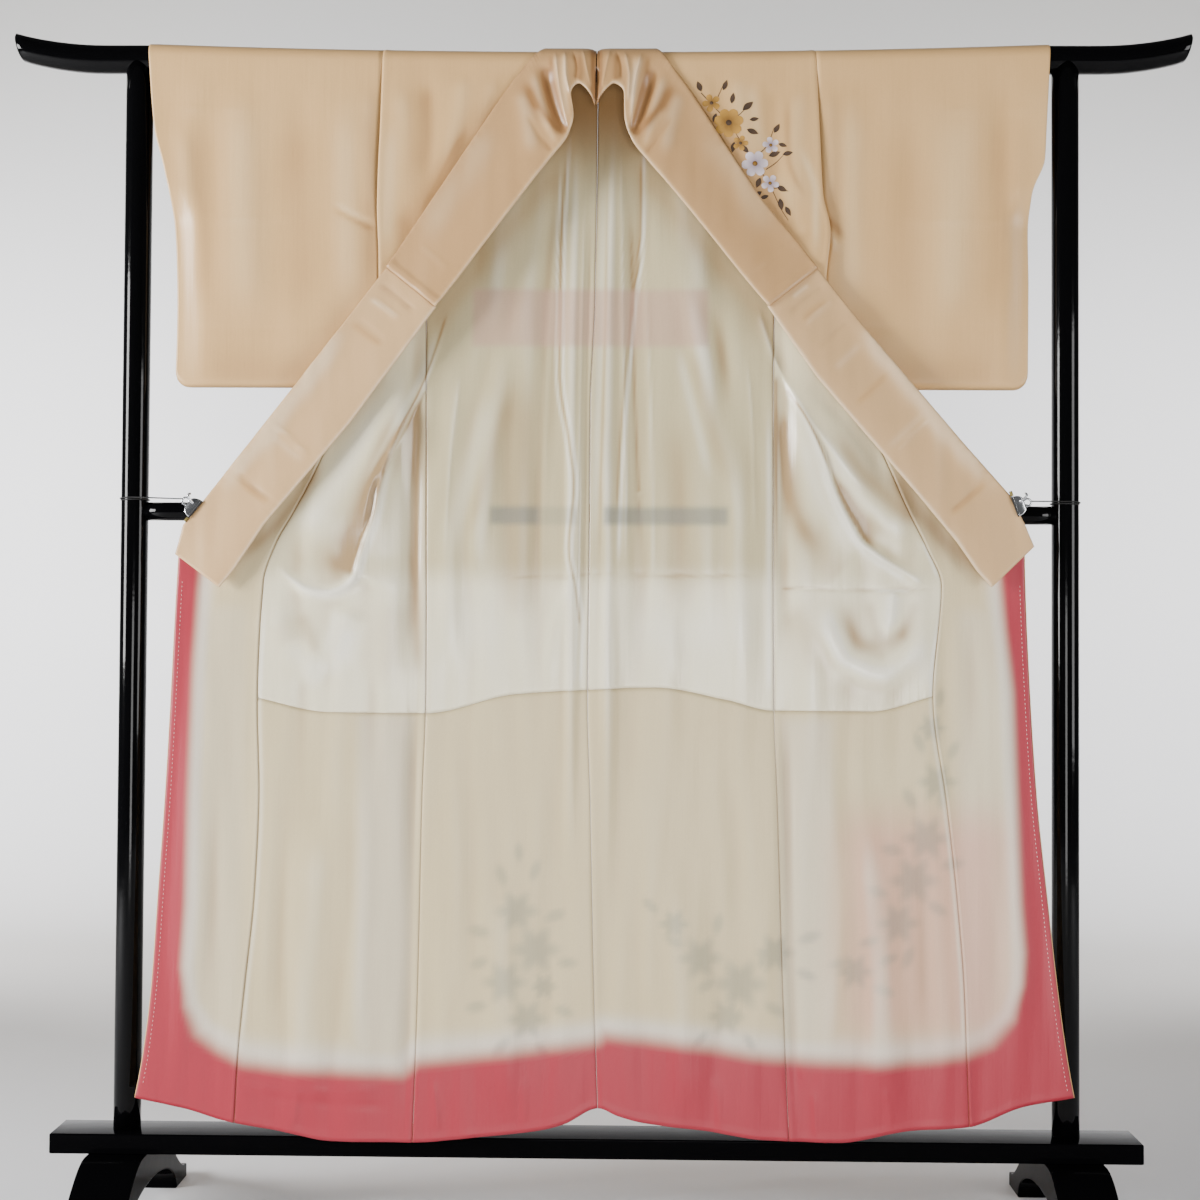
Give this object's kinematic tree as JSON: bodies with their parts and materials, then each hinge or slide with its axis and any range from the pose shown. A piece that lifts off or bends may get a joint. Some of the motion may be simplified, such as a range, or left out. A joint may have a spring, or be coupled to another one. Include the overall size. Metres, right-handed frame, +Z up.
{
  "type": "kimono on two-post display stand",
  "caption": "Lined silk kimono hung open, lining forward, over the bar of a black lacquered two-post display stand.",
  "frame": {"origin": "on the floor, midway between the stand's posts", "axes": "+Z up, +X along the top bar to the viewer's right, +Y to the back of the hung garment"},
  "size_m": [1.72, 0.4, 1.7255],
  "materials": {
    "stand_lacquer": "turned and planed wood under polished black lacquer",
    "outer_silk": "plain silk crepe, pale apricot beige, soft sheen, small sprays by the shoulder",
    "collar_silk": "the same silk crepe, folded double",
    "upper_lining": "white silk satin lining, glossy",
    "lower_lining": "cream silk lining, dyed rose in a soft band along hem and front edges",
    "clip_steel": "bent and plated spring steel",
    "tie_thread": "black twisted thread"
  },
  "bodies": {
    "root": {"back_left": "outer_silk", "back_lining_lower_left": "lower_lining", "back_lining_lower_right": "lower_lining", "back_lining_upper_left": "upper_lining", "back_lining_upper_right": "upper_lining", "back_right": "outer_silk", "base_board": "stand_lacquer", "clip_left": "clip_steel", "clip_right": "clip_steel", "collar_left": "collar_silk", "collar_right": "collar_silk", "foot_left": "stand_lacquer", "foot_right": "stand_lacquer", "front_left": "outer_silk", "front_lining_lower_left": "lower_lining", "front_lining_lower_right": "lower_lining", "front_lining_upper_left": "upper_lining", "front_lining_upper_right": "upper_lining", "front_right": "outer_silk", "front_upper_left": "outer_silk", "front_upper_right": "outer_silk", "mid_rail": "stand_lacquer", "okumi_left": "outer_silk", "okumi_lining_left": "lower_lining", "okumi_lining_right": "lower_lining", "okumi_right": "outer_silk", "over_collar_left": "collar_silk", "over_collar_right": "collar_silk", "post_left": "stand_lacquer", "post_right": "stand_lacquer", "sleeve_left": "outer_silk", "sleeve_right": "outer_silk", "tie_left": "tie_thread", "tie_right": "tie_thread", "top_bar": "stand_lacquer"}
  },
  "joints": []
}
